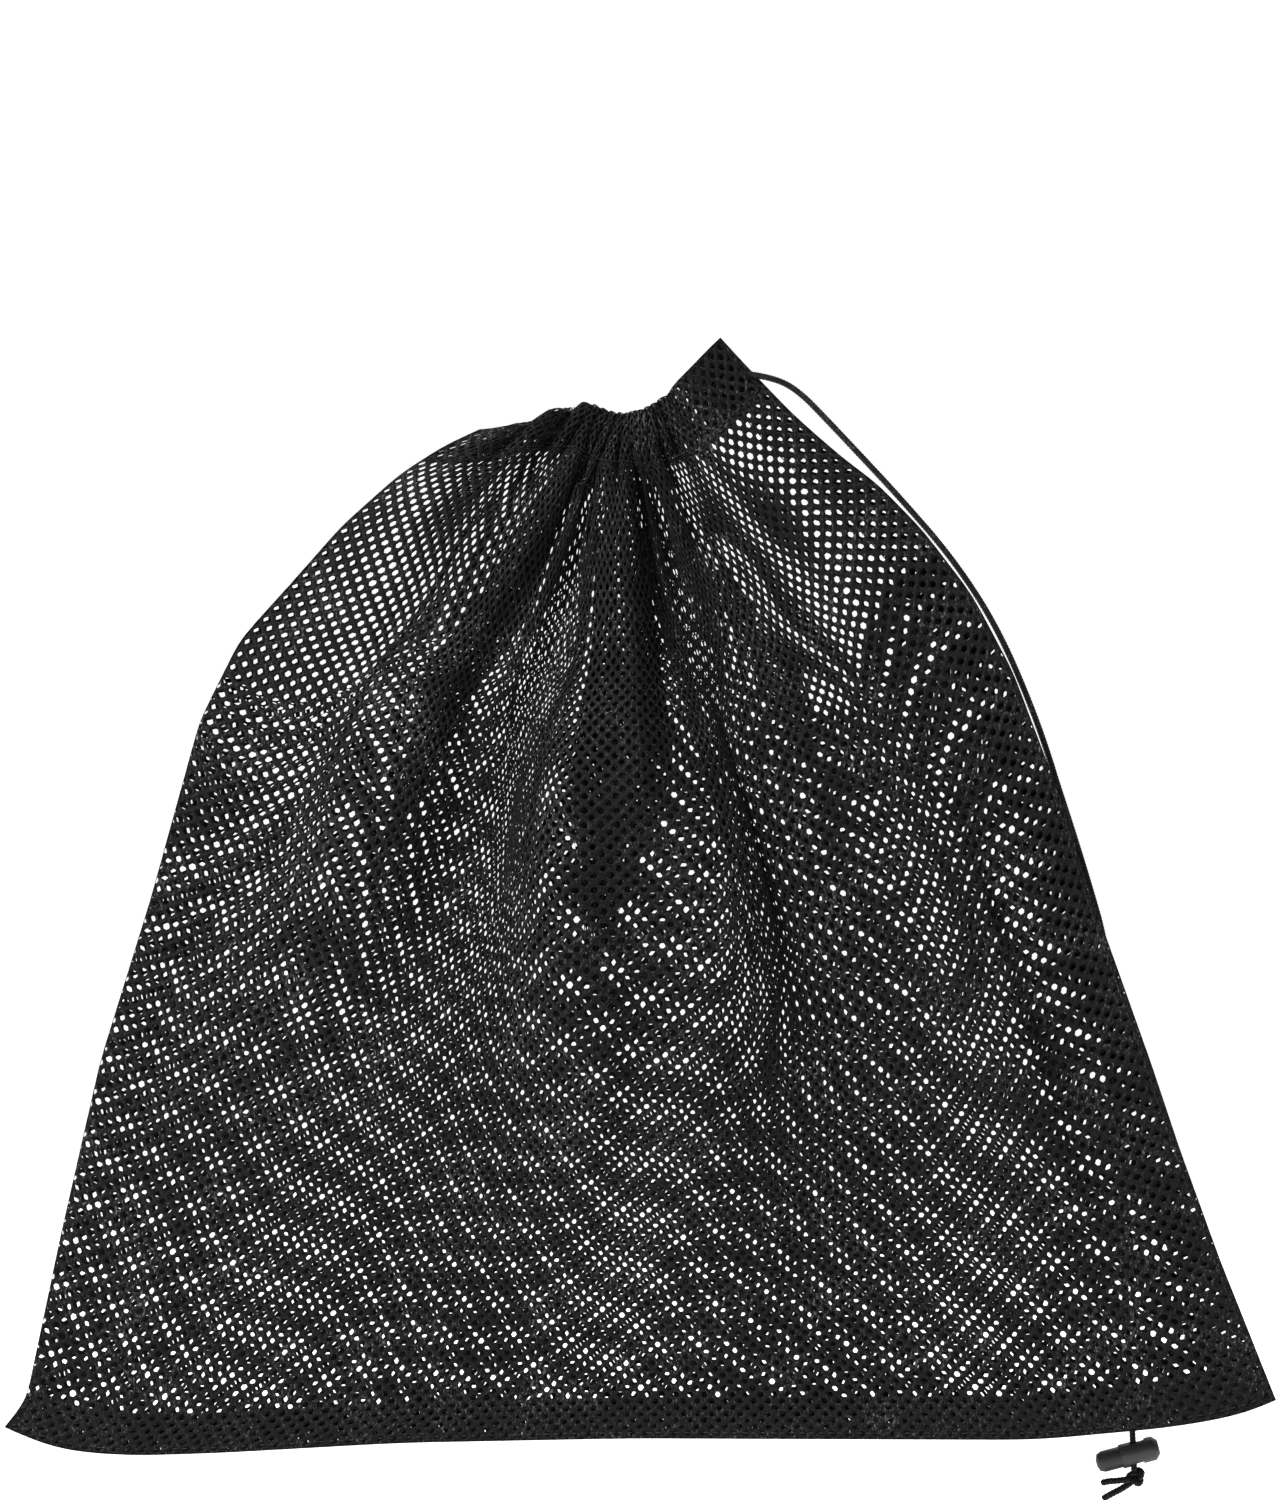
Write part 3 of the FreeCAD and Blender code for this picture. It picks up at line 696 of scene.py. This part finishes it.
def back_drift(across, down):
    """The back's grain turns against the front's further down; at the middle it is out of step."""
    aside = across - CLOTH_WIDE / 2
    start = (50 * MM + 50 * MM * smoothstep(60 * MM, 150 * MM, abs(aside))
             + 14 * MM * np.sin(aside / (17 * MM)))
    below = np.maximum(down - start, 0)
    turned = GRAIN_TURN * below / (below + 80 * MM)
    apart = STEP * np.exp(-(aside / (90 * MM)) ** 2)
    return np.stack([apart + 0.005 * aside - turned * below,
                     0.004 * (down - 137 * MM) + turned * aside], -1)


def tuck_plies(top, foot, half_wide, start, end):
    """Two plies of cloth doubled under a ridge, narrower towards their foot."""
    middle = CLOTH_WIDE * (top + foot) / 2
    half = half_wide * CLOTH_WIDE
    down = (start * CLOTH_HIGH, end * CLOTH_HIGH)
    plies = []
    for number, (inward, shift) in enumerate(((1.3 * MM, (0.9, 0.2)), (2.4 * MM, (0.4, 0.6)))):
        cloth = on_cloth(FRONT, lambda across, fall, inward=inward: np.full(across.shape, inward))

        def place(across, fall, height):
            v = fall / CLOTH_HIGH
            narrow = 1 - 0.92 * smoothstep(start + 0.45 * (end - start), end, v)
            spot = ridge_line(top, foot, v) * CLOTH_WIDE + (across - middle) * narrow
            return cloth(spot, fall, height)
        plies.append(lattice(place, (middle - half, middle + half), down, (0.3 * MM,) * 4,
                             seed=51 + number, shift=shift))
    return join(plies)


def make_walls():
    seam = 0.5 * MM
    half = CLOTH_WIDE / 2
    for side, name, drift in ((FRONT, "front", None), (BACK, "back", back_drift)):
        for part, keep in (("left", (-1, half)), ("right", (half, 1))):
            parts = [lattice(on_cloth(side), (0, CLOTH_WIDE), (HEM_HIGH, CLOTH_HIGH),
                             (0, seam, seam, seam), seed=11, drift=drift, keep=keep)]
            if side == FRONT:
                parts += [tuck_plies(*tuck) for tuck in TUCKS
                          if keep[0] <= tuck[0] * CLOTH_WIDE < keep[1]]
            piece = mesh_object(f"{name}_mesh_{part}", *join(parts), MESH_YARN)
            declare_cloth(piece, f"{name}_wall")


def make_hems():
    for side, name in ((FRONT, "front"), (BACK, "back")):
        region = ((0, CLOTH_WIDE), (0, HEM_HIGH), (0, 0.5 * MM, 0.15 * MM, 0.4 * MM))
        aside = 0 if side == FRONT else 0.5
        outer = lattice(on_cloth(side), *region, seed=21, shift=(aside, aside))
        inner = lattice(on_cloth(side, hem_inset), *region, seed=22, shift=(aside + 1, aside))
        points, faces = join([outer, inner])
        piece = mesh_object(f"{name}_hem_mesh", points, faces, MESH_YARN)
        declare_cloth(piece, f"{name}_hem")


def make_allowances():
    gap = 0.45 * MM
    edge = (0.3 * MM,) * 4
    strips = (("side", (CLOTH_WIDE - ALLOWANCE, CLOTH_WIDE), (HEM_HIGH, CLOTH_HIGH - BASE_ALLOWANCE),
               ((-0.26, 0.0), (-0.1, 0.2)), 1.0, NET_AREA),
              ("bottom", (0, CLOTH_WIDE), (CLOTH_HIGH - BASE_ALLOWANCE, CLOTH_HIGH),
               ((1.0, 0.0), (0.5, 0.5)), DENSE_HOLES, DENSE_AREA))
    for name, across, down, shifts, open_share, net in strips:
        plies = [lattice(between(level), across, down, edge, seed=31 + ply, shift=shifts[ply],
                         open_share=open_share)
                 for ply, level in enumerate((-gap, gap))]
        piece = mesh_object(f"{name}_allowance_mesh", *join(plies), MESH_YARN)
        declare_cloth(piece,
                      f"{name}_seam_allowance", net)


make_walls()
make_hems()
make_allowances()


# ---------------------------------------------------------------- stitches
THREAD_WIDE = 0.45 * MM
STITCH_SHARE = 0.62                              # of the way from one needle hole to the next
STITCH_SHORTEST = 0.2 * MM


def stitches(name, places, normals, cad_node):
    """A row of thread stitches: rounded bars from point to point, with gaps between."""
    around, along_count = 6, 5
    parts = []
    for start, end, normal in zip(places[:-1], places[1:], normals[:-1]):
        run = (end - start) * STITCH_SHARE
        length = np.linalg.norm(run)
        if length < STITCH_SHORTEST:
            continue
        up = normal / np.linalg.norm(normal)
        across = np.cross(run / length, up)
        shares = np.linspace(0, 1, along_count)
        ring = np.linspace(0, 2 * math.pi, around, endpoint=False)
        thick = THREAD_WIDE / 2 * np.sqrt(np.maximum(1 - (2 * shares - 1) ** 4, 0.02))
        lift = THREAD_WIDE * 0.6 * np.sin(math.pi * shares)
        centre = start + run * shares[:, None] + up * lift[:, None]
        points = (centre[:, None] + thick[:, None, None]
                  * (np.cos(ring)[None, :, None] * across + np.sin(ring)[None, :, None] * up))
        index = np.arange(along_count * around).reshape(along_count, around)
        near, far = index[:-1], index[1:]
        quads = np.stack([near, np.roll(near, -1, 1), np.roll(far, -1, 1), far], -1).reshape(-1, 4)
        triangles = np.concatenate([quads[:, :3], quads[:, [0, 2, 3]]])
        caps = [[index[0, 0], index[0, i + 1], index[0, i]] for i in range(1, around - 1)]
        caps += [[index[-1, 0], index[-1, i], index[-1, i + 1]] for i in range(1, around - 1)]
        parts.append((points.reshape(-1, 3), np.concatenate([triangles, np.array(caps)])))
    piece = mesh_object(name, *join(parts), THREAD)
    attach(piece, "bag")
    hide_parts(cad_node)


def stitch_row(name, side, across, down, cad_node):
    surface = SURFACES[side]
    outward = surface.normal(across, down) * side
    stitches(name, surface.at(across, down) + outward * YARN_HALF, outward, cad_node)


def make_stitches():
    hem_row = np.linspace(2 * MM, CLOTH_WIDE - 2 * MM, 134)
    for side, name in ((FRONT, "front_hem_thread"), (BACK, "back_hem_thread")):
        stitch_row(name + "_stitches", side, hem_row, np.full_like(hem_row, HEM_HIGH - 1 * MM), name)
    down = np.linspace(HEM_HIGH, CLOTH_HIGH - 4 * MM, 114)
    stitch_row("side_seam_stitches", FRONT, np.full_like(down, CLOTH_WIDE - 2 * MM), down,
               "side_seam_thread")
    across = np.linspace(4 * MM, CLOTH_WIDE - 4 * MM, 130)
    stitch_row("bottom_seam_stitches", FRONT, across, np.full_like(across, CLOTH_HIGH - 2.5 * MM),
               "bottom_seam_thread")


make_stitches()


# ---------------------------------------------------------------- drawcord
CORD_WIDE = 2 * MM
BRAID_STEP = 0.27 * MM                           # from ring to ring of a cord's mesh
BRAID_DEEP = 0.14                                # share of the radius that the plait rises
# Millimetres: the middle of the strand pair, from the hem to just above its long straight hang.
FREE_ROUTE = [(44.4, 0.0, 19.6), (52.5, 0.0, 15.6), (62.4, 0.2, 5.4), (72.4, 0.8, -5.2),
              (84.4, 1.6, -18.0), (101.0, 3.0, -37.0), (115.0, 4.5, -58.4),
              (126.6, 6.5, -85.0), (134.8, 9.0, -109.5), (140.2, 12.5, -132.0),
              (146.2, 18.5, -162.0), (151.4, 25.0, -190.0)]
BOW = (0, 0, 0, 0, 0, 0, 0, 0, 0, 2.0, 5.0, 0)    # how far the slack strand stands aside
HANG = [(154.0, 28.0, -213.0), (155.1, 28.0, -236.3)]   # both in line with the end
HANG_END = (159.3, 28.0, -325.4)
EXIT = (36.8, 1.8, 20.6)                         # across, off the middle, up
PAIR_GAP, LOCK_GAP = 1.3, 1.05                   # strand centre to the pair's middle


def route_points(name, points):
    """Points along the smooth NURBS line that has these control points."""
    curve = bpy.data.curves.new(name + "_route", "CURVE")
    curve.dimensions = "3D"
    spline = curve.splines.new("NURBS")
    spline.points.add(len(points) - 1)
    for spot, point in zip(spline.points, points):
        spot.co = (*(value * MM for value in point), 1)
    spline.order_u = 3
    spline.use_endpoint_u = True
    spline.resolution_u = 24
    holder = bpy.data.objects.new(name + "_route", curve)
    SCENE.collection.objects.link(holder)
    bpy.context.view_layer.update()
    shape = bpy.data.meshes.new_from_object(holder)
    line = np.array([tuple(vertex.co) for vertex in shape.vertices])
    bpy.data.objects.remove(holder)
    bpy.data.curves.remove(curve)
    return line


def even(line, step):
    lengths = np.concatenate([[0], np.cumsum(np.linalg.norm(np.diff(line, axis=0), axis=1))])
    steps = np.linspace(0, lengths[-1], max(int(lengths[-1] / step), 4))
    return np.stack([np.interp(steps, lengths, axis) for axis in line.T], 1), steps


def braided_tube(line, radius, ends=(False, False), closed=False):
    """Points and faces of a braided cord: two families of plaited bumps round a tube."""
    around, lobes = 18, 3
    line, steps = even(line, BRAID_STEP)
    tangent = np.gradient(line, axis=0)
    tangent /= np.linalg.norm(tangent, axis=1, keepdims=True)
    normal = np.cross(tangent[0], (0.3, 1, 0.2))
    frames = []
    for way in tangent:                          # a frame that doesn't twist along the cord
        normal = normal - way * np.dot(normal, way)
        normal = normal / np.linalg.norm(normal)
        frames.append(normal)
    normal = np.array(frames)
    side = np.cross(tangent, normal)
    ring = np.linspace(0, 2 * math.pi, around, endpoint=False)
    travel = (steps * lobes / radius)[:, None]
    plait = np.cos(lobes * ring + travel) * np.cos(lobes * ring - travel)
    thick = radius * (1 - BRAID_DEEP + BRAID_DEEP * plait)
    for blunt, order in zip(ends, (slice(None), slice(None, None, -1))):
        if blunt:                                # a cut, heat-sealed end is slightly rounded
            distance = steps / radius
            thick = (thick[order] * np.minimum(1, 0.72 + 0.5 * distance)[:, None])[order]
    points = (line[:, None] + thick[..., None]
              * (np.cos(ring)[None, :, None] * normal[:, None]
                 + np.sin(ring)[None, :, None] * side[:, None]))
    count = len(line)
    index = np.arange(count * around).reshape(count, around)
    near, far = (index, np.roll(index, -1, 0)) if closed else (index[:-1], index[1:])
    quads = np.stack([near, far, np.roll(far, -1, 1), np.roll(near, -1, 1)], -1).reshape(-1, 4)
    faces = [quads[:, :3], quads[:, [0, 2, 3]]]
    if not closed:
        caps = [[index[0, 0], index[0, i], index[0, i + 1]] for i in range(1, around - 1)]
        caps += [[index[-1, 0], index[-1, i + 1], index[-1, i]] for i in range(1, around - 1)]
        faces.append(np.array(caps))
    return points.reshape(-1, 3), np.concatenate(faces)


def cord_piece(name, tube, cad_node):
    piece = mesh_object(name, *tube, CORD_YARN)
    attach(piece, "bag")
    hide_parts(cad_node)
    return piece


# Millimetres: the knot's centre, and each tail's points from that centre.
KNOT_CENTRE = np.array([159.9, 27.6, -326.4])
UPPER_TAIL = [(-2.16, -1.2, -0.6), (-6, -1.8, -1.2), (-8.8, -1.7, -1.2), (-11.2, -1.4, -1.9)]
LOWER_TAIL = [(-1.16, 1.2, -1.6), (-4.5, 1.6, -4.0), (-7.5, 1.8, -5.4), (-10.6, 1.6, -7.2)]
TAIL_WIDE = 2.25 * MM                            # a cut end frays and spreads a little
KNOT_CORD_WIDE = 1.9 * MM                        # pulled tight
KNOT_LEAN = math.radians(25)


def make_knot():
    """An overhand knot, turned so that its loops show, pulled tight."""
    t = np.linspace(0, 2 * math.pi, 160, endpoint=False)
    loops = np.stack([np.sin(t) + 2 * np.sin(2 * t), -np.sin(3 * t) * 1.3,
                      np.cos(t) - 2 * np.cos(2 * t)], -1) * 0.80
    x, y, z = loops.T
    turned = np.stack([x * math.cos(KNOT_LEAN) - z * math.sin(KNOT_LEAN), y,
                       x * math.sin(KNOT_LEAN) + z * math.cos(KNOT_LEAN)], -1)
    line = (KNOT_CENTRE + turned) * MM
    return cord_piece("knot", braided_tube(line, KNOT_CORD_WIDE / 2, closed=True), "end_knot")


def make_drawcord():
    knot = make_knot()
    tails = []
    for name, points in (("upper", UPPER_TAIL), ("lower", LOWER_TAIL)):
        line = route_points(name, KNOT_CENTRE + np.array(points))
        tube = braided_tube(line, TAIL_WIDE / 2, (False, True))
        tails.append(cord_piece(f"{name}_tail", tube, f"drawcord_{name}_tail"))
    for side, name, extras in ((FRONT, "front", [knot, *tails]), (BACK, "back", [])):
        points = [(EXIT[0], -side * EXIT[1], EXIT[2])]
        bow = BOW if side == BACK else (0,) * len(BOW)
        points += [(x + aside, y - side * PAIR_GAP, z)
                   for (x, y, z), aside in zip(FREE_ROUTE, bow)]
        points += [(x, y - side * LOCK_GAP, z) for x, y, z in (*HANG, HANG_END)]
        line = route_points(name, points)
        piece = cord_piece(f"{name}_strand", braided_tube(line, CORD_WIDE / 2),
                           f"drawcord_{name}_strand")
        [value * MM for value in points[0]]
        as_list(extras)


CORD_INSET = 1.1 * MM                            # the cord's middle behind the hem's outer ply


def make_cord_in_hem():
    """The cord inside the tunnel, smoother than the cloth that is gathered on it."""
    across = np.linspace(0.985, 0.02, 60) * CLOTH_WIDE
    down = np.full_like(across, HEM_HIGH * 0.5)
    halves = {}
    for side in (FRONT, BACK):
        surface = SURFACES[side]
        line = surface.at(across, down) - side * surface.normal(across, down) * CORD_INSET
        halves[side] = soften(line, 6)
    line = np.concatenate([halves[FRONT], halves[BACK][::-1]])
    cord_piece("cord_in_hem", braided_tube(soften(line, 3), CORD_WIDE / 2 * 0.95),
               "drawcord_in_hem")


make_drawcord()
make_cord_in_hem()


# ---------------------------------------------------------------- cord lock
def finish_lock():
    for name, material, edge in (("lock_barrel", BARREL_PLASTIC, 0.16),
                                 ("lock_plunger", PLUNGER_PLASTIC, 0.3)):
        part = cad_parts[name]
        part.data.materials.clear()
        part.data.materials.append(material)
        part.data.polygons.foreach_set("use_smooth", [True] * len(part.data.polygons))
        weld = part.modifiers.new("weld", "WELD")
        weld.merge_threshold = 0.005 * MM
        bevel = part.modifiers.new("edges", "BEVEL")
        bevel.width, bevel.segments = edge * MM, 3
        bevel.limit_method, bevel.angle_limit = "ANGLE", math.radians(32)
        bevel.use_clamp_overlap = True
        bevel.harden_normals = True


LOCK_TILT = math.radians(15)
LOCK_AXIS = np.array([math.cos(LOCK_TILT), 0, math.sin(LOCK_TILT)])


def make_spring():
    """The lock's spring, the shape of its CAD solid."""
    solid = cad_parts["lock_spring"]
    data = solid.data
    data.calc_loop_triangles()
    points = np.array([tuple(solid.matrix_world @ vertex.co) for vertex in data.vertices])
    faces = [tuple(triangle.vertices) for triangle in data.loop_triangles]
    piece = mesh_object("spring_coil", points, faces, STEEL)
    heights = points @ LOCK_AXIS
    foot = points[heights.argmax()]
    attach(piece, "cord_lock")
    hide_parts("lock_spring")
    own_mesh(piece)


make_spring()
finish_lock()
